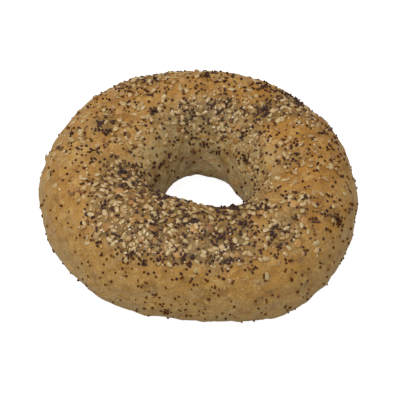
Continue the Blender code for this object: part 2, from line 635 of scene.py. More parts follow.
@dataclass(frozen=True)
class CrustFinish:
    """Baked dough: tan, browner where the crown caught the heat and in spots that are partly painted
    shade, khaki in the shade of the hole.

    The mesh's "bake_and_painted_light" attribute says how brown, pale and thickly strewn each place
    is, and in its alpha how much painted light lifts the deep wall of the hole there.
    """

    tan: Colour = (0.54, 0.305, 0.085, 1)
    khaki: Colour = (0.55, 0.415, 0.195, 1)
    # Painted light: a pale colour that lifts the deep wall of the hole, where shade falls.
    painted_hole_light: Colour = (0.82, 0.67, 0.39, 1)
    # The browner colour: real browning, and painted shade in the browner spots.
    browned_and_shaded: Colour = (0.46, 0.205, 0.028, 1)
    orange: Colour = (0.52, 0.245, 0.022, 1)
    # Darker where the topping lies thickly: the stain of poppy dust, and painted shade between the
    # seeds.
    seed_stain_and_shade: Colour = (0.205, 0.125, 0.036, 1)
    dark: Colour = (0.24, 0.10, 0.018, 1)
    golden: Colour = (0.68, 0.43, 0.14, 1)
    # Pale flecks: crumbs, and painted glints.
    crumb_and_glint: Colour = (0.72, 0.52, 0.25, 1)
    dust: Colour = (0.10, 0.034, 0.006, 1)
    olive_patches: Patches = Patches(7 * MM, 0.48, 0.66, 0.6)
    heat_patches: Patches = Patches(11 * MM, 0.36, 0.62)
    blotches: Patches = Patches(5.5 * MM, 0.47, 0.68, 0.55)
    light_patches: Patches = Patches(4.0 * MM, 0.5, 0.7, 0.75)
    creases: Patches = Patches(3.2 * MM, 0.5, 0.66, 0.65)
    fine_patches: Patches = Patches(0.9 * MM, 0.48, 0.68, 0.42)
    seed_stain_and_shade_patches: Patches = Patches(2.2 * MM, 0.35, 0.6, 0.9)
    sheen_patches: Patches = Patches(2.6 * MM, 0.4, 0.6)
    flecks: Specks = Specks(1.5 * MM, 0.3, 0.3, 0.6)
    dust_specks: Specks = Specks(1.2 * MM, 0.32, strength=0.55)
    glaze_specks: Specks = Specks(1.3 * MM, 0.45, 0.5)
    crease_scale: tuple[float, float, float] = (1.0, 1.0, 2.6)
    heat_span: tuple[float, float] = (0.45, 1.0)
    seed_stain_and_shade_span: tuple[float, float] = (0.35, 1.0)
    crowding: tuple[float, float] = (0.2, 0.75)
    dust_span: tuple[float, float] = (0.18, 0.6)
    glaze_span: tuple[float, float] = (0.3, 1.0)
    roughness: tuple[float, float] = (0.36, 0.6)
    glaze: float = 0.9
    glaze_smoothing: float = 0.24
    shine: float = 0.45
    grain_size: float = 0.9 * MM
    grain_depth: float = 0.2 * MM

    def make(self, patterns: Patterns) -> bpy.types.Material:
        """The crust's material, from the shared patterns."""
        material, board, shader = new_material("baked_crust")
        place = board.place()
        bake_and_painted_light = board.add("ShaderNodeAttribute", {"attribute_name": "bake_and_painted_light"}, {})
        parts = board.add("ShaderNodeSeparateColor", {}, {0: bake_and_painted_light.outputs["Color"]})
        brown, pale, strewn = parts.outputs[0], parts.outputs[1], parts.outputs[2]

        def mottle(kind: Patches) -> bpy.types.NodeSocket:
            """A mask of these patches, where they lie on the crust."""
            return patterns.patches(board, place, kind)

        def tint(under: object, kind: Patches, over: Colour) -> bpy.types.NodeSocket:
            """A colour with these patches of another over it."""
            return board.blend(board.times(mottle(kind), kind.strength), under, over)

        colour = board.blend(pale, self.tan, self.khaki)
        # Painted light on the hole's deep wall, read from the alpha.
        colour = board.blend(bake_and_painted_light.outputs["Alpha"], colour, self.painted_hole_light)
        colour = tint(colour, self.olive_patches, self.khaki)
        # The brown channel holds browning and, in its spots, painted shade.
        heat = board.times(brown, board.span(mottle(self.heat_patches), *self.heat_span))
        colour = board.blend(heat, colour, self.browned_and_shaded)
        colour = tint(colour, self.blotches, self.dark)
        colour = tint(colour, self.light_patches, self.golden)
        creased = board.add("ShaderNodeMapping", {}, {"Vector": place, "Scale": self.crease_scale})
        streaks = patterns.patches(board, creased.outputs[0], self.creases)
        colour = board.blend(board.times(streaks, self.creases.strength), colour, self.orange)
        colour = tint(colour, self.fine_patches, self.dark)
        # Painted shade between the seeds, with the stain of poppy dust, where the topping lies
        # thickly.
        seed_stain_and_shade_mask = board.times(board.ease(strewn, *self.crowding), self.seed_stain_and_shade_patches.strength)
        seed_stain_and_shade_mask = board.times(seed_stain_and_shade_mask, board.span(mottle(self.seed_stain_and_shade_patches), *self.seed_stain_and_shade_span))
        colour = board.blend(seed_stain_and_shade_mask, colour, self.seed_stain_and_shade)
        # Pale flecks on the crust: crumbs, and painted glints.
        flecks = patterns.specks(board, place, self.flecks, self.flecks.share)
        colour = board.blend(board.times(flecks, self.flecks.strength), colour, self.crumb_and_glint)
        dusty = board.span(strewn, *self.dust_span)
        dust = patterns.specks(board, place, self.dust_specks, dusty)
        colour = board.blend(board.times(dust, self.dust_specks.strength), colour, self.dust)
        board.feed(shader.inputs["Base Color"], colour)

        glazed = patterns.specks(board, place, self.glaze_specks, self.glaze_specks.share)
        glazed = board.times(glazed, board.span(strewn, *self.glaze_span))
        sheen = board.span(mottle(self.sheen_patches), *self.roughness)
        smoother = board.times(glazed, self.glaze_smoothing)
        board.feed(shader.inputs["Roughness"], board.maths("SUBTRACT", sheen, smoother))
        board.feed(shader.inputs["Coat Weight"], board.times(glazed, self.glaze))
        shader.inputs["Coat Roughness"].default_value = COAT_ROUGHNESS
        shader.inputs["Specular IOR Level"].default_value = self.shine
        height = patterns.grain(board, place, self.grain_size, 0.9)
        add_bump(board, shader, height, self.grain_depth)
        return material


@dataclass(frozen=True)
class SeedFinish:
    """One kind of topping: two ends of its colour, a toasted tone, and its skin."""

    name: str
    light: Colour
    deep: Colour
    toasted: Colour
    roughness: tuple[float, float]
    grain_size: float
    grain_depth: float
    toasted_share: float = 0.3
    shine: float = 0.5
    coat: float = 0.0
    scorch: Patches = Patches(0.9 * MM, 0.4, 0.62, 0.25)
    scorch_span: tuple[float, float] = (0.35, 0.9)
    tone_pitch: float = 190.0
    chance_pitch: float = 130.0
    noise_range: tuple[float, float] = (0.3, 0.7)

    def make(self, patterns: Patterns, tones: ToneSource) -> bpy.types.Material:
        """The material of seeds that hold their tone themselves, or read it from their place.

        Args:
            patterns: the shared patterns.
            tones: ATTRIBUTE for joined seeds, PLACE for a seed that is a node of its own.

        Returns:
            The material.
        """
        material, board, shader = new_material(f"{self.name}_{tones.value}")
        place = board.place()
        if tones is ToneSource.ATTRIBUTE:
            node = board.add("ShaderNodeAttribute", {"attribute_name": "tone"}, {})
            parts = board.add("ShaderNodeSeparateColor", {}, {0: node.outputs["Color"]})
            tone, chance = parts.outputs[0], parts.outputs[1]
        else:
            tone = board.ease(board.noise(place, self.tone_pitch, 0.0), *self.noise_range)
            chance = board.ease(board.noise(place, self.chance_pitch, 0.0), *self.noise_range)
        colour = board.blend(tone, self.deep, self.light)
        is_toasted = board.maths("LESS_THAN", chance, self.toasted_share)
        patchy = patterns.patches(board, place, self.scorch)
        scorch = board.times(is_toasted, board.span(patchy, *self.scorch_span))
        colour = board.blend(scorch, colour, self.toasted)
        colour = board.blend(board.times(patchy, self.scorch.strength), colour, self.deep)
        board.feed(shader.inputs["Base Color"], colour)
        board.feed(shader.inputs["Roughness"], board.span(patchy, *self.roughness))
        shader.inputs["Specular IOR Level"].default_value = self.shine
        shader.inputs["Coat Weight"].default_value = self.coat
        shader.inputs["Coat Roughness"].default_value = COAT_ROUGHNESS
        height = patterns.grain(board, place, self.grain_size, 0.5)
        add_bump(board, shader, height, self.grain_depth)
        return material


FINISHES = {
    Grain.SESAME: SeedFinish(
        "sesame",
        light=(0.66, 0.49, 0.255, 1),
        deep=(0.50, 0.34, 0.14, 1),
        toasted=(0.42, 0.22, 0.07, 1),
        roughness=(0.2, 0.4),
        coat=0.3,
        grain_size=0.35 * MM,
        grain_depth=0.03 * MM,
    ),
    Grain.POPPY: SeedFinish(
        "poppy",
        light=(0.106, 0.062, 0.055, 1),
        deep=(0.052, 0.013, 0.006, 1),
        toasted=(0.18, 0.060, 0.003, 1),
        toasted_share=0.35,
        roughness=(0.5, 0.7),
        shine=0.06,
        grain_size=0.2 * MM,
        grain_depth=0.05 * MM,
    ),
    Grain.ONION: SeedFinish(
        "onion",
        light=(0.58, 0.31, 0.09, 1),
        deep=(0.40, 0.19, 0.05, 1),
        toasted=(0.20, 0.075, 0.018, 1),
        toasted_share=0.25,
        roughness=(0.3, 0.5),
        coat=0.2,
        grain_size=0.6 * MM,
        grain_depth=0.1 * MM,
    ),
    Grain.CHIP: SeedFinish(
        "chip",
        light=(0.50, 0.29, 0.09, 1),
        deep=(0.20, 0.075, 0.022, 1),
        toasted=(0.10, 0.03, 0.012, 1),
        toasted_share=0.4,
        roughness=(0.3, 0.6),
        shine=0.4,
        grain_size=0.3 * MM,
        grain_depth=0.06 * MM,
    ),
    # Pale, glossy crumbs that also stand in for glints: painted highlights.
    Grain.CRUMB_AND_GLINT: SeedFinish(
        "crumb_and_glint",
        light=(0.92, 0.76, 0.47, 1),
        deep=(0.78, 0.62, 0.38, 1),
        toasted=(0.66, 0.46, 0.22, 1),
        roughness=(0.15, 0.35),
        coat=0.7,
        grain_size=0.3 * MM,
        grain_depth=0.04 * MM,
    ),
    Grain.GARLIC: SeedFinish(
        "garlic",
        light=(0.70, 0.49, 0.24, 1),
        deep=(0.54, 0.32, 0.12, 1),
        toasted=(0.40, 0.19, 0.06, 1),
        toasted_share=0.25,
        roughness=(0.22, 0.5),
        coat=0.4,
        grain_size=0.3 * MM,
        grain_depth=0.06 * MM,
    ),
}


@dataclass(frozen=True)
class FloorFinish:
    """White board that glows a little to the eye, and throws little light back up."""

    colour: Colour = (0.30, 0.30, 0.30, 1)
    worn: Colour = (0.27, 0.27, 0.27, 1)
    thrown: Colour = (0.55, 0.53, 0.47, 1)
    wear: Patches = Patches(0.08, 0.3, 0.7)
    glow: float = 0.95

    def make(self, patterns: Patterns) -> bpy.types.Material:
        """The floor's material, from the shared patterns."""
        material, board, shader = new_material("white_board")
        wear = patterns.patches(board, board.place(), self.wear)
        colour = board.blend(wear, self.colour, self.worn)
        seen = board.add("ShaderNodeLightPath", {}, {}).outputs["Is Camera Ray"]
        board.feed(shader.inputs["Base Color"], board.blend(seen, self.thrown, colour))
        shader.inputs["Roughness"].default_value = 0.8
        shader.inputs["Emission Color"].default_value = (1, 1, 1, 1)
        board.feed(shader.inputs["Emission Strength"], board.times(seen, self.glow))
        return material


# ---------------------------------------------------------------- the crust


@dataclass
class Crust:
    """The bagel's skin, which stands for the frame's bread."""

    surface: CrustSurface
    rows: int = 430
    columns: int = 225
    # Browner spots on the crown: partly real browning, partly painted shade, most of all on its
    # right.
    browned_and_shaded: tuple[Spot, ...] = (
        Spot(95, 75, 14 * MM, 0.7),
        Spot(45, 75, 13 * MM, 0.8),
        Spot(18, 82, 9 * MM, 1.0),
        Spot(350, 84, 9 * MM, 1.0),
        Spot(332, 70, 9 * MM, 0.8),
        Spot(145, 80, 11 * MM, 0.9),
        Spot(200, 60, 10 * MM, 0.6),
        Spot(290, 60, 10 * MM, 0.5),
        Spot(235, 70, 9 * MM, 0.5),
    )
    # Spots where the painted light on the hole's wall is strongest.
    painted_light_spots: tuple[Spot, ...] = (Spot(118, 190, 9 * MM, 0.7),)
    facing_up: tuple[float, float] = (0.1, 0.9)
    facing_in: tuple[float, float] = (0.25, 0.85)
    facing_down: tuple[float, float] = (0.3, -0.35)
    wall: tuple[float, float] = (0.3, 0.8)
    depth: tuple[float, float] = (0.35, 0.8)
    top_brown: float = 0.25
    low_pale: float = 0.55
    # The share of painted light that the whole deep wall of the hole gets.
    wall_painted_light: float = 0.3

    def bake_and_light_tones(self, points: Array, outward: Array, strewn: Array) -> Array:
        """How brown, pale and thickly strewn each place is, and how much painted light it gets, as
        one colour each.

        Brown grows as the crust faces up and with the browner spots, partly painted shade; pale as it
        faces inwards, into the hole, or down. Painted light lifts the hole's wall deep down, where
        shade falls, most of all in the painted light spots. Each is a smooth step between its field's
        two values.

        Args:
            points: the crust's places.
            outward: the way the smooth form faces there.
            strewn: how thickly the topping lies there, from 0 to 1.

        Returns:
            Rows of red, green, blue and alpha.
        """
        form = self.surface.form
        radius = np.hypot(points[..., 0], points[..., 1])
        up = outward[..., 2]
        brown = self.top_brown * smooth_step(*self.facing_up, up)
        brown = brown + spotted(form, self.browned_and_shaded, points)
        inward = -(outward[..., 0] * points[..., 0] + outward[..., 1] * points[..., 1])
        inward = inward / np.maximum(radius, 1e-6)
        pale = smooth_step(*self.facing_in, inward)
        pale = pale + self.low_pale * smooth_step(*self.facing_down, up)
        brown = brown * (1 - np.clip(pale, 0, 1))
        deep = 1 - smooth_step(*self.depth, points[..., 2] / form.height)
        # Painted light: the hole's wall deep down, where shade falls, is made lighter.
        paler = np.clip(self.wall_painted_light + spotted(form, self.painted_light_spots, points), 0, 1)
        painted_hole_light = smooth_step(*self.wall, inward) * deep * paler
        tones = np.stack([brown, pale, strewn, painted_hole_light], axis=-1)
        return np.clip(tones, 0, 1)

    def build(self, strewn: "Scatter") -> bpy.types.Object:
        """The crust's mesh, with its tones.

        Args:
            strewn: the topping's spread, which says where it lies thickly.

        Returns:
            The crust's object.
        """
        turn = np.linspace(0, 360, self.rows, endpoint=False)
        section = self.surface.form.even_across(self.columns)
        around, across = np.meshgrid(turn, section, indexing="ij")
        points = self.surface.point(around, across)
        _, _, outward = self.surface.form.directions(around, across)
        thick = strewn.thickness(around, across)
        tones = self.bake_and_light_tones(points, outward, thick)
        faces = ring_faces(self.rows, self.columns)
        mesh = mesh_of("crust", points.reshape(-1, 3), [faces])
        add_tones(mesh, "bake_and_painted_light", tones.reshape(-1, 4))
        return shown("crust", mesh)

    def dress(self, piece: bpy.types.Object, patterns: Patterns) -> None:
        """Give the crust its finish, and put it in the bread's place."""
        piece.data.materials.append(CrustFinish().make(patterns))
        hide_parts("bread_ring")
        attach(piece, "root")


# ---------------------------------------------------------------- the topping


@dataclass(frozen=True)
class Shape:
    """One kind of grain: its size, how it narrows, how lumpy it is and how it lies.

    Low grains sink by low_sunk more and are browner. The bloom is how much paler and less toasted
    the grains are where the topping lies thickly.
    """

    size: tuple[float, float, float]
    spread: float = 0.12
    taper: float = 0.0
    blunt: float = 1.0
    lumps: float = 0.0
    bend: float = 0.0
    low_sunk: float = 0.0
    bloom: float = 0.0
    rings: int = 6
    sides: int = 7
    sunk: float = 0.25
    tilt: float = 12.0

    def ball(self) -> Array:
        """The unit directions of a ball's vertices: rings about x, then the poles on x."""
        along = np.pi * (np.arange(self.rings) + 1) / (self.rings + 1)
        turn = math.tau * np.arange(self.sides) / self.sides
        along, turn = np.meshgrid(along, turn, indexing="ij")
        rings = [-np.cos(along), np.sin(along) * np.cos(turn), np.sin(along) * np.sin(turn)]
        poles = np.array([[-1.0, 0, 0], [1.0, 0, 0]])
        return np.concatenate([np.stack(rings, axis=-1).reshape(-1, 3), poles])

    def grains(self, count: int, draw: np.random.Generator) -> Array:
        """The vertices of this many grains, each about its own middle.

        A grain is a ball pushed in and out by the mean of three random waves, of 2 to 4.5
        radians to its radius. It is stretched to its length, width and thickness, which the
        spread varies, narrowed towards +x by the taper, and bent down along x.

        Args:
            count: how many grains.
            draw: where the differences between them come from.

        Returns:
            An array of grains by vertices by x, y, z, in metres.
        """
        directions = self.ball()
        waves = unit(draw.normal(size=(count, 3, 3))) * draw.uniform(2.0, 4.5, (count, 3, 1))
        phases = draw.uniform(0, math.tau, (count, 3, 1))
        swell = np.sin(np.einsum("gwk,vk->gwv", waves, directions) + phases).mean(1)
        blunted = signed_power(directions, self.blunt)
        ball = blunted[None] * (1 + self.lumps * swell)[..., None]
        growth = 1 + self.spread * draw.normal(size=(count, 1, 1)).clip(-2, 2)
        stretch = growth * (1 + 0.5 * self.spread * draw.normal(size=(count, 1, 3)).clip(-2, 2))
        narrowing = 1 - self.taper * (ball[..., :1] + 1) / 2
        ball[..., 1:] = ball[..., 1:] * narrowing
        solid = ball * stretch * np.array(self.size) / 2
        drop = self.bend * solid[..., 0] ** 2 / max(self.size[0], 1e-9)
        solid[..., 2] -= drop
        return solid


SHAPES = {
    Grain.SESAME: Shape(
        (2.45 * MM, 2.05 * MM, 0.85 * MM),
        spread=0.1,
        taper=0.42,
        blunt=0.88,
        lumps=0.06,
        rings=7,
        sides=8,
        sunk=0.36,
        tilt=14,
    ),
    Grain.POPPY: Shape(
        (0.97 * MM, 0.88 * MM, 0.8 * MM),
        spread=0.17,
        lumps=0.15,
        low_sunk=0.12,
        bloom=0.9,
        rings=4,
        sides=6,
        sunk=0.3,
    ),
    Grain.CHIP: Shape((1.2 * MM, 0.85 * MM, 0.4 * MM), spread=0.35, blunt=0.7, lumps=0.4, sides=6),
    Grain.ONION: Shape(
        (3.3 * MM, 2.3 * MM, 0.5 * MM), spread=0.25, blunt=0.8, lumps=0.35, bend=0.5, sides=10
    ),
    Grain.GARLIC: Shape((1.7 * MM, 1.3 * MM, 1.0 * MM), spread=0.25, blunt=0.75, lumps=0.3),
    Grain.CRUMB_AND_GLINT: Shape(
        (0.75 * MM, 0.55 * MM, 0.5 * MM), spread=0.3, blunt=0.7, lumps=0.3, rings=4, sides=6, sunk=0.1
    ),
}


@dataclass(frozen=True)
class Fall:
    """How one kind fell: its base density, its share over the section, and its random drifts.

    The section angles count from the outer rim. From the foot's first angle to its second the
    fall sets in; it is the side's share up to the shoulder, all of it past that, less again
    down the hole, and nothing after the end.
    """

    base: float = 0.22
    side_share: float = 0.05
    foot: tuple[float, float] = (-30, 0)
    shoulder: tuple[float, float] = (25, 62)
    hole: tuple[float, float] = (135, 175)
    hole_loss: float = 0.9
    end: float = 200
    drifts: tuple[RippleField, ...] = (
        RippleField(9 * MM, 0.3, 32),
        RippleField(5 * MM, 0.4, 34),
    )


USUAL_FALL = Fall()
FALLS = {
    Grain.CRUMB_AND_GLINT: Fall(base=0.05),
    Grain.POPPY: Fall(
        base=0.44,
        side_share=0.36,
        foot=(-52, -22),
        shoulder=(20, 64),
        hole=(140, 185),
        hole_loss=0.65,
        end=215,
        drifts=(RippleField(9 * MM, 0.3, 31), RippleField(3.2 * MM, 0.8, 33)),
    ),
}


@dataclass(frozen=True)
class Portion:
    """How much of one kind is strewn: how many grains at most, and how close they lie.

    The radius is the room that one takes, in metres; near is how close two may come, as a share
    of their radii together.
    """

    count: int
    radius: float
    near: float


PORTIONS = {
    Grain.ONION: Portion(34, 1.3 * MM, 1.0),
    Grain.SESAME: Portion(460, 1.0 * MM, 0.7),
    Grain.GARLIC: Portion(150, 0.7 * MM, 0.8),
    Grain.CHIP: Portion(600, 0.45 * MM, 0.6),
    Grain.CRUMB_AND_GLINT: Portion(200, 0.3 * MM, 0.5),
    Grain.POPPY: Portion(2050, 0.42 * MM, 0.66),
}


@dataclass
class Seats:
    """Where grains lie: the two angles, and how far above the crust, in metres."""

    around: Array
    across: Array
    rise: Array

    def plus(self, other: "Seats") -> "Seats":
        """These seats and then the others."""
        return Seats(
            np.r_[self.around, other.around],
            np.r_[self.across, other.across],
            np.r_[self.rise, other.rise],
        )


@dataclass
class Scatter:
    """How the topping fell: where each kind is thick, and the seats that it took.

    The density is never less than least before its drifts, and spots whose strengths add up to
    heaped count as fully strewn. A knot's fields give its likely number for a spot's strength,
    its fewest seeds and one past its most, its pitch and its second layer's level, the room that
    each seed takes, how unevenly they lie, and how far it strays, as a share of the spot's reach.
    """

    surface: CrustSurface
    seed: int = 46
    taken: Array = field(default_factory=lambda: np.zeros((0, 3)))
    radii: Array = field(default_factory=lambda: np.zeros(0))
    tries_each: int = 4
    least: float = 0.03
    heaped: float = 3.4
    knots_per_strength: float = 1.3
    knot_seeds: tuple[int, int] = (4, 11)
    knot_pitch: float = 0.62 * MM
    knot_layer: float = 0.72 * MM
    knot_room: float = 0.5 * MM
    knot_gaps: tuple[float, float] = (0.85, 1.3)
    knot_stray: float = 0.4
    sesame_spots: tuple[Spot, ...] = (
        Spot(256, 95, 5.5 * MM, 1.7),
        Spot(229, 102, 7.5 * MM, 2.0),
        Spot(243, 45, 6.5 * MM, 1.9),
        Spot(211, 91, 6.5 * MM, 1.5),
        Spot(227, 60, 5.0 * MM, 1.3),
        Spot(261, 56, 5.0 * MM, 1.5),
        Spot(277, 54, 5.0 * MM, 1.3),
        Spot(290, 60, 4.5 * MM, 1.2),
        Spot(288, 104, 5.0 * MM, 1.1),
        Spot(272, 92, 5.0 * MM, 0.8),
        Spot(310, 71, 6.5 * MM, 1.0),
        Spot(312, 119, 4.5 * MM, 0.9),
        Spot(324, 85, 5.0 * MM, 1.0),
        Spot(354, 104, 5.0 * MM, 0.9),
        Spot(33, 82, 5.5 * MM, 1.3),
        Spot(28, 58, 4.5 * MM, 0.8),
        Spot(20, 147, 6.0 * MM, 1.1),
        Spot(338, 128, 5.0 * MM, 1.0),
        Spot(207, 129, 5.5 * MM, 1.9),
        Spot(256, 121, 4.5 * MM, 1.2),
        Spot(65, 130, 5.5 * MM, 1.2),
        Spot(95, 121, 6.0 * MM, 0.8),
        Spot(116, 70, 6.0 * MM, 1.1),
        Spot(122, 140, 5.0 * MM, 0.7),
        Spot(142, 74, 7.0 * MM, 0.8),
        Spot(160, 97, 5.0 * MM, 0.9),
    )
    poppy_spots: tuple[Spot, ...] = (
        Spot(42, 96, 3.8 * MM, 3.2),
        Spot(36, 119, 5.0 * MM, 1.1),
        Spot(357, 102, 4.5 * MM, 0.9),
        Spot(18, 46, 6.0 * MM, 1.0),
        Spot(38, 57, 6.0 * MM, 1.5),
        Spot(70, 119, 5.5 * MM, 1.9),
        Spot(97, 135, 5.5 * MM, 1.1),
        Spot(127, 118, 5.0 * MM, 1.3),
        Spot(122, 62, 7.0 * MM, 1.0),
        Spot(156, 86, 4.5 * MM, 1.6),
        Spot(168, 62, 5.0 * MM, 0.8),
        Spot(183, 94, 5.0 * MM, 1.1),
        Spot(190, 150, 5.5 * MM, 1.0),
        Spot(226, 132, 5.0 * MM, 1.8),
        Spot(14, 147, 7.0 * MM, 0.5),
        Spot(88, 166, 6.0 * MM, 0.6),
        Spot(83, 74, 4.5 * MM, 1.2),
        Spot(198, 116, 5.5 * MM, 1.5),
        Spot(222, 112, 7.0 * MM, 1.9),
        Spot(243, 113, 5.0 * MM, 1.6),
        Spot(220, 75, 5.0 * MM, 1.1),
        Spot(230, 52, 5.0 * MM, 1.3),
        Spot(251, 83, 4.5 * MM, 2.3),
        Spot(258, 50, 6.0 * MM, 1.7),
        Spot(242, 45, 4.0 * MM, 2.2),
        Spot(248, 22, 8.0 * MM, 0.8),
        Spot(277, 52, 4.5 * MM, 1.6),
        Spot(264, 88, 4.5 * MM, 2.6),
        Spot(273, 73, 4.5 * MM, 1.5),
        Spot(286, 70, 4.5 * MM, 1.4),
        Spot(289, 87, 4.0 * MM, 1.6),
        Spot(307, 69, 4.5 * MM, 1.3),
        Spot(294, 129, 6.0 * MM, 2.2),
        Spot(310, 115, 5.0 * MM, 1.3),
        Spot(326, 82, 5.0 * MM, 0.8),
        Spot(331, 42, 4.5 * MM, 1.9),
        Spot(262, 352, 9.0 * MM, 0.5),
        Spot(308, 22, 13 * MM, 0.5),
        Spot(340, 16, 9.0 * MM, 0.3),
        Spot(204, 24, 13 * MM, -0.3),
        Spot(44, 64, 5.0 * MM, 0.9),
        Spot(60, 66, 5.0 * MM, 0.7),
        Spot(164, 46, 11 * MM, -0.45),
        Spot(331, 58, 6.0 * MM, -0.4),
    )
    # Where the pale crumbs lie thickest: where glints fall on the crown, as painted highlights.
    crumb_and_glint_spots: tuple[Spot, ...] = (
        Spot(249, 58, 6.0 * MM, 1.7),
        Spot(279, 57, 5.5 * MM, 1.5),
        Spot(58, 128, 6.0 * MM, 1.9),
        Spot(92, 126, 5.0 * MM, 0.8),
        Spot(32, 72, 6.0 * MM, 0.4),
        Spot(228, 66, 6.0 * MM, 0.5),
    )

    def profile(self, across: Array, grain: Grain) -> Array:
        """How much falls at each section angle: most on the crown, little low down.

        Args:
            across: section angles in degrees.
            grain: the kind of topping.

        Returns:
            A share from 0 to 1 for each angle.
        """
        fall = FALLS.get(grain, USUAL_FALL)
        turned = rim_angle(across)
        outer = fall.side_share + (1 - fall.side_share) * smooth_step(*fall.shoulder, turned)
        outer = outer * smooth_step(*fall.foot, turned)
        inner = 1 - fall.hole_loss * smooth_step(*fall.hole, turned)
        return outer * inner * (turned < fall.end)

    def density(self, around: Array, across: Array, grain: Grain) -> Array:
        """How thickly one kind lies at each place: the profile times the spots and a drift.

        Args:
            around: ring angles in degrees.
            across: section angles in degrees.
            grain: the kind of topping.

        Returns:
            A density, in no fixed unit.
        """
        fall = FALLS.get(grain, USUAL_FALL)
        form = self.surface.form
        points = form.point(around, across)
        own_spots = {Grain.POPPY: self.poppy_spots, Grain.CRUMB_AND_GLINT: self.crumb_and_glint_spots}
        spots = own_spots.get(grain, self.sesame_spots)
        drift = sum(ripple.at(points) for ripple in fall.drifts)
        thick = np.maximum(fall.base + spotted(form, spots, points), self.least) * np.exp(drift)
        return thick * self.profile(across, grain)

    def thickness(self, around: Array, across: Array) -> Array:
        """How strewn each place is with everything, from 0 to 1."""
        form = self.surface.form
        points = form.point(around, across)
        thicker = [spot for spot in self.poppy_spots + self.sesame_spots if spot.strength > 0]
        total = spotted(form, tuple(thicker), points)
        return np.clip(total / self.heaped, 0, 1) * self.profile(across, Grain.SESAME)

    def keep_clear(self, middles: Array, radius: float) -> None:
        """Note grains that are already there, so that no other lands on them."""
        self.taken = np.concatenate([self.taken, middles])
        self.radii = np.r_[self.radii, np.full(len(middles), radius)]

    def strew(self, grain: Grain) -> Seats:
        """Drop one kind's grains one by one by the density, and pass over a place that is taken.

        Args:
            grain: the kind of topping.

        Returns:
            The seats that they took.
        """
        portion = PORTIONS[grain]
        draw = np.random.default_rng((self.seed, list(Grain).index(grain)))
        turn = np.arange(HALF_CELL, 360, 2 * HALF_CELL)
        section = np.arange(LOWEST_SEAT - HALF_CELL, HOLE_SEAT, 2 * HALF_CELL)
        around, across = np.meshgrid(turn, section, indexing="ij")
        ahead, over = self.surface.form.steps(around, across, HALF_CELL)
        area = np.linalg.norm(np.cross(ahead, over), axis=-1)
        weight = (area * self.density(around, across, grain)).reshape(-1)
        drops = self.tries_each * portion.count
        tries = draw.choice(weight.size, size=drops, p=weight / weight.sum())
        around = around.reshape(-1)[tries] + draw.uniform(-HALF_CELL, HALF_CELL, tries.size)
        across = across.reshape(-1)[tries] + draw.uniform(-HALF_CELL, HALF_CELL, tries.size)
        places = self.surface.point(around, across)
        kept: list[int] = []
        for number, place in enumerate(places):
            gaps = np.linalg.norm(self.taken - place, axis=1)
            if np.all(gaps > portion.near * (self.radii + portion.radius)):
                kept.append(number)
                self.keep_clear(place[None], portion.radius)
            if len(kept) == portion.count:
                break
        return Seats(around[kept], across[kept], np.zeros(len(kept)))

    def knot(self, spot: Spot, seeds: int, draw: np.random.Generator) -> Seats:
        """One knot of seeds near a spot: a sunflower's spiral, with a second layer on its middle.

        Seed n lies about pitch * sqrt(n + 1/2) from the knot's middle, turned by n golden angles.

        Args:
            spot: where such knots are likely.
            seeds: how many seeds the knot has.
            draw: where its place and its unevenness come from.

        Returns:
            The seats.
        """
        lower = seeds * 3 // 4
        number = np.r_[np.arange(lower), np.arange(seeds - lower)]
        rise = np.r_[np.zeros(lower), np.full(seeds - lower, self.knot_layer)]
        away = self.knot_pitch * np.sqrt(number + 0.5) * draw.uniform(*self.knot_gaps, seeds)
        turn = GOLDEN_ANGLE * number + draw.uniform(0, math.tau)
        aside = self.knot_stray * spot.reach * draw.normal(size=2)
        ahead, over = self.surface.form.steps(spot.around, spot.across, 0.5)  # for one degree
        around = spot.around + (aside[0] + away * np.cos(turn)) / np.linalg.norm(ahead)
        across = spot.across + (aside[1] + away * np.sin(turn)) / np.linalg.norm(over)
        return Seats(around, across, rise)

    def lay_all(self) -> dict[Grain, Seats]:
        """Every kind's seats: the large grains, then the poppy's knots, then the small ones."""
        seats = {grain: self.strew(grain) for grain in (Grain.ONION, Grain.SESAME, Grain.GARLIC)}
        knots = self.knots()
        seats |= {grain: self.strew(grain) for grain in (Grain.CHIP, Grain.CRUMB_AND_GLINT, Grain.POPPY)}
        seats[Grain.POPPY] = seats[Grain.POPPY].plus(knots)
        return seats

    def knots(self) -> Seats:
        """The seats of the poppy seeds' knots: more of them where a spot is stronger."""
        draw = np.random.default_rng((self.seed, KNOT_DRAW))
        seats = Seats(np.zeros(0), np.zeros(0), np.zeros(0))
        for spot in self.poppy_spots:
            for _ in range(max(0, round(self.knots_per_strength * spot.strength))):
                seats = seats.plus(self.knot(spot, int(draw.integers(*self.knot_seeds)), draw))
        self.keep_clear(self.surface.point(seats.around, seats.across), self.knot_room)
        return seats


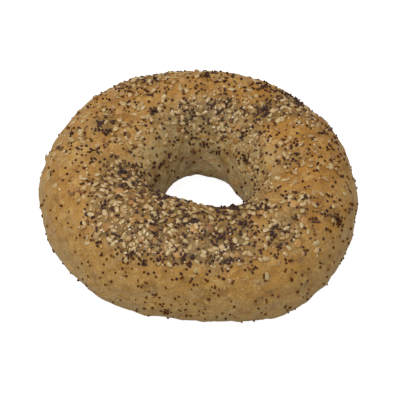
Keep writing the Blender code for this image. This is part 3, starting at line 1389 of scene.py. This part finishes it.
@dataclass
class Topping:
    """Every loose grain of one kind, as one piece."""

    grain: Grain
    surface: CrustSurface
    seed: int
    unevenness: float = 0.1
    low_toasting: float = 0.8
    bloom_evening: float = 0.3
    bloom_paling: float = 0.75
    bloom_sparing: float = 0.6

    def build(self, seats: Seats, thick: Array) -> bpy.types.Object:
        """Lay one grain on each seat, turned at random and tilted a little; low ones sink deeper.

        The "tone" attribute's red is how pale a grain is and its green how little toasted.

        Args:
            seats: where the grains lie.
            thick: how thickly the topping lies at each seat, from 0 to 1.

        Returns:
            The piece that holds them all.
        """
        shape = SHAPES[self.grain]
        draw = np.random.default_rng((self.seed, GRAIN_DRAW))
        count = len(seats.around)
        solid = shape.grains(count, draw)
        spin = draw.uniform(0, math.tau, count)
        lean = np.radians(shape.tilt) * draw.normal(size=(2, count)).clip(-2, 2)
        ahead, over, outward = self.surface.form.directions(seats.around, seats.across)
        length = np.cos(spin)[:, None] * ahead + np.sin(spin)[:, None] * over
        up = unit(outward + np.sin(lean[0])[:, None] * ahead + np.sin(lean[1])[:, None] * over)
        side = unit(np.cross(up, length))
        length = np.cross(side, up)
        thickness = shape.size[2]
        low = 1 - smooth_step(*LOW_SIDE, rim_angle(seats.across))
        height = (0.5 - shape.sunk - shape.low_sunk * low) * thickness + seats.rise
        height = height + self.unevenness * thickness * draw.normal(size=count)
        middle = self.surface.point(seats.around, seats.across) + height[:, None] * outward
        axes = np.stack([length, side, up], axis=1)
        points = middle[:, None] + np.einsum("gvk,gkx->gvx", solid, axes)
        quads, caps = ball_faces(shape.rings, shape.sides)
        offsets = np.arange(count)[:, None, None] * solid.shape[1]
        polygons = [(quads + offsets).reshape(-1, 4), (caps + offsets).reshape(-1, 3)]
        name = f"loose_{self.grain.value}s"
        mesh = mesh_of(name, points.reshape(-1, 3), polygons)
        tones = draw.uniform(0, 1, (count, 1, 4)) * np.ones((1, solid.shape[1], 1))
        bloom = shape.bloom * thick[:, None]
        evened = tones[..., 0] * (1 - self.bloom_evening * shape.bloom)
        tones[..., 0] = evened + self.bloom_paling * bloom
        spared = tones[..., 1] * (1 - self.low_toasting * low)[:, None]
        tones[..., 1] = spared + self.bloom_sparing * bloom
        add_tones(mesh, "tone", tones.clip(0, 1).reshape(-1, 4))
        return shown(name, mesh)

    def dress(self, piece: bpy.types.Object, patterns: Patterns) -> None:
        """Give the grains their finish, and fix them to the bagel."""
        piece.data.materials.append(FINISHES[self.grain].make(patterns, ToneSource.ATTRIBUTE))
        shared = {Grain.CHIP: "onion", Grain.CRUMB_AND_GLINT: "garlic"}
        shared.get(self.grain, self.grain.name.lower())
        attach(piece, "root")


def rounding_group() -> bpy.types.NodeTree:
    """A geometry group that shades its mesh smooth."""
    tree = bpy.data.node_groups.new("smooth_skin", "GeometryNodeTree")
    tree.interface.new_socket("Geometry", in_out="INPUT", socket_type="NodeSocketGeometry")
    tree.interface.new_socket("Geometry", in_out="OUTPUT", socket_type="NodeSocketGeometry")
    board = Board(tree)
    source = board.add("NodeGroupInput", {}, {})
    smooth = board.add("GeometryNodeSetShadeSmooth", {}, {0: source.outputs[0]})
    board.add("NodeGroupOutput", {}, {0: smooth.outputs[0]})
    return tree


@dataclass
class FrameTopping:
    """The grains that are nodes of the frame: they stay, rounded and dressed."""

    weld: float = 0.01 * MM
    room: float = 1.2 * MM

    def middles(self) -> Array:
        """The middle of every grain node's box."""
        names = [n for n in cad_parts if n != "bread_ring"]
        boxes = [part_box(name) for name in names]
        return np.array([(low + high) / 2 for low, high in boxes])

    def dress(self, patterns: Patterns) -> int:
        """Round each node with modifiers and give it its kind's finish.

        Args:
            patterns: the shared patterns.

        Returns:
            How many nodes were dressed.
        """
        smooth = rounding_group()
        finishes: dict[Grain, bpy.types.Material] = {}
        dressed = 0
        for name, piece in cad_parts.items():
            grain = next((kind for kind in Grain if name.startswith(kind.value)), None)
            if grain is None:
                continue
            if grain not in finishes:
                finishes[grain] = FINISHES[grain].make(patterns, ToneSource.PLACE)
            piece.modifiers.new("weld", "WELD").merge_threshold = self.weld
            piece.modifiers.new("smooth", "NODES").node_group = smooth
            rounding = piece.modifiers.new("rounding", "SUBSURF")
            rounding.levels = rounding.render_levels = 1
            piece.data.materials.clear()
            piece.data.materials.append(finishes[grain])
            dressed += 1
        return dressed


# ---------------------------------------------------------------- the studio


@dataclass(frozen=True)
class Lamp:
    """One round soft lamp: its width in metres, its power in watts, and where it hangs."""

    name: str
    width: float
    power: float
    place: tuple[float, float, float]


@dataclass
class Studio:
    """A white board, soft light from above, and the camera.

    One large soft lamp and a small one for the glints hang overhead, towards the camera's left.
    The camera stands at its distance from the look point, and aims a drop below it, so that the
    bagel sits in the middle of the view.
    """

    floor_size: float = 6.0
    floor_level: float = -0.0002
    elevation: float = 46.0
    distance: float = 0.5
    lens: float = 120.15
    look: Vector = field(default_factory=lambda: Vector((0.0008, -0.0003, 0.017)))
    drop: float = 2.94 * MM
    lamps: tuple[Lamp, ...] = (
        Lamp("overhead", 0.66, 2.66, (-0.42, -0.20, 0.86)),
        Lamp("glint", 0.06, 2.1, (-0.10, -0.26, 1.0)),
    )
    lamp_colour: tuple[float, float, float] = (1.0, 0.99, 0.97)
    room_colour: Colour = (1.0, 0.98, 0.93, 1)
    room_light: float = 0.465

    def build_floor(self, patterns: Patterns) -> None:
        """A wide flat board under the bagel, with its corners at half its size each way."""
        half = self.floor_size / 2
        corner = np.array([[-1, -1, 0], [1, -1, 0], [1, 1, 0], [-1, 1, 0]], float)
        points = corner * half + np.array([0, 0, self.floor_level])
        floor = shown("floor", mesh_of("floor", points, [np.array([[0, 1, 2, 3]])]))
        floor.data.materials.append(FloorFinish().make(patterns))

    def aim(self, holder: bpy.types.Object, place: Vector, target: Vector) -> None:
        """Put a lamp or the camera at a place and turn it towards the target."""
        holder.location = place
        holder.rotation_euler = (target - place).to_track_quat("-Z", "Y").to_euler()

    def build_lights(self) -> None:
        """Hang the lamps, each facing the bagel."""
        for lamp in self.lamps:
            light = bpy.data.lights.new(lamp.name, "AREA")
            light.shape = "DISK"
            light.size = lamp.width
            light.energy = lamp.power
            light.color = self.lamp_colour
            self.aim(shown(lamp.name, light), Vector(lamp.place), self.look)

    def build_room(self) -> None:
        """The pale room: it throws a soft light, and looks white to the camera."""
        world = bpy.data.worlds.new("pale_room")
        bpy.context.scene.world = world
        world.use_nodes = True
        board = Board(world.node_tree)
        background = world.node_tree.nodes["Background"]
        background.inputs["Color"].default_value = self.room_colour
        seen = board.add("ShaderNodeLightPath", {}, {}).outputs["Is Camera Ray"]
        board.feed(background.inputs["Strength"], board.span(seen, self.room_light, 1.0))

    def build_camera(self) -> None:
        """The camera, in front of the bagel and looking down at it."""
        tilt = math.radians(self.elevation)
        back = Vector((0, -math.cos(tilt), math.sin(tilt)))
        above = Vector((0, math.sin(tilt), math.cos(tilt)))
        lens = bpy.data.cameras.new("camera")
        lens.lens = self.lens
        lens.sensor_width = 36.0
        lens.clip_start, lens.clip_end = 0.01, 50.0
        camera = shown("camera", lens)
        self.aim(camera, self.look + back * self.distance, self.look - above * self.drop)
        bpy.context.scene.camera = camera

    def set_view(self) -> None:
        """Show light as it is, with no film curve."""
        bpy.context.scene.view_settings.view_transform = "Standard"


def main() -> None:
    """Build the crust, the topping and the studio in order."""
    logging.basicConfig(level=logging.INFO, format="%(name)s: %(message)s")
    patterns = Patterns()
    form = RingForm(*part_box("bread_ring"))
    surface = CrustSurface(form)
    scatter = Scatter(surface)

    frame_topping = FrameTopping()
    scatter.keep_clear(frame_topping.middles(), frame_topping.room)
    LOG.info("frame topping: %d nodes dressed", frame_topping.dress(patterns))

    crust = Crust(surface)
    skin = crust.build(scatter)
    crust.dress(skin, patterns)
    LOG.info("crust: %d faces", len(skin.data.polygons))

    for seed, (grain, places) in enumerate(scatter.lay_all().items(), start=FIRST_TOPPING_DRAW):
        topping = Topping(grain, surface, seed)
        piece = topping.build(places, scatter.thickness(places.around, places.across))
        topping.dress(piece, patterns)
        LOG.info("%s: %d grains, %d faces", piece.name, len(places.around), len(piece.data.polygons))

    studio = Studio()
    studio.build_floor(patterns)
    studio.build_lights()
    studio.build_room()
    studio.build_camera()
    studio.set_view()


if __name__ == "__main__":
    main()
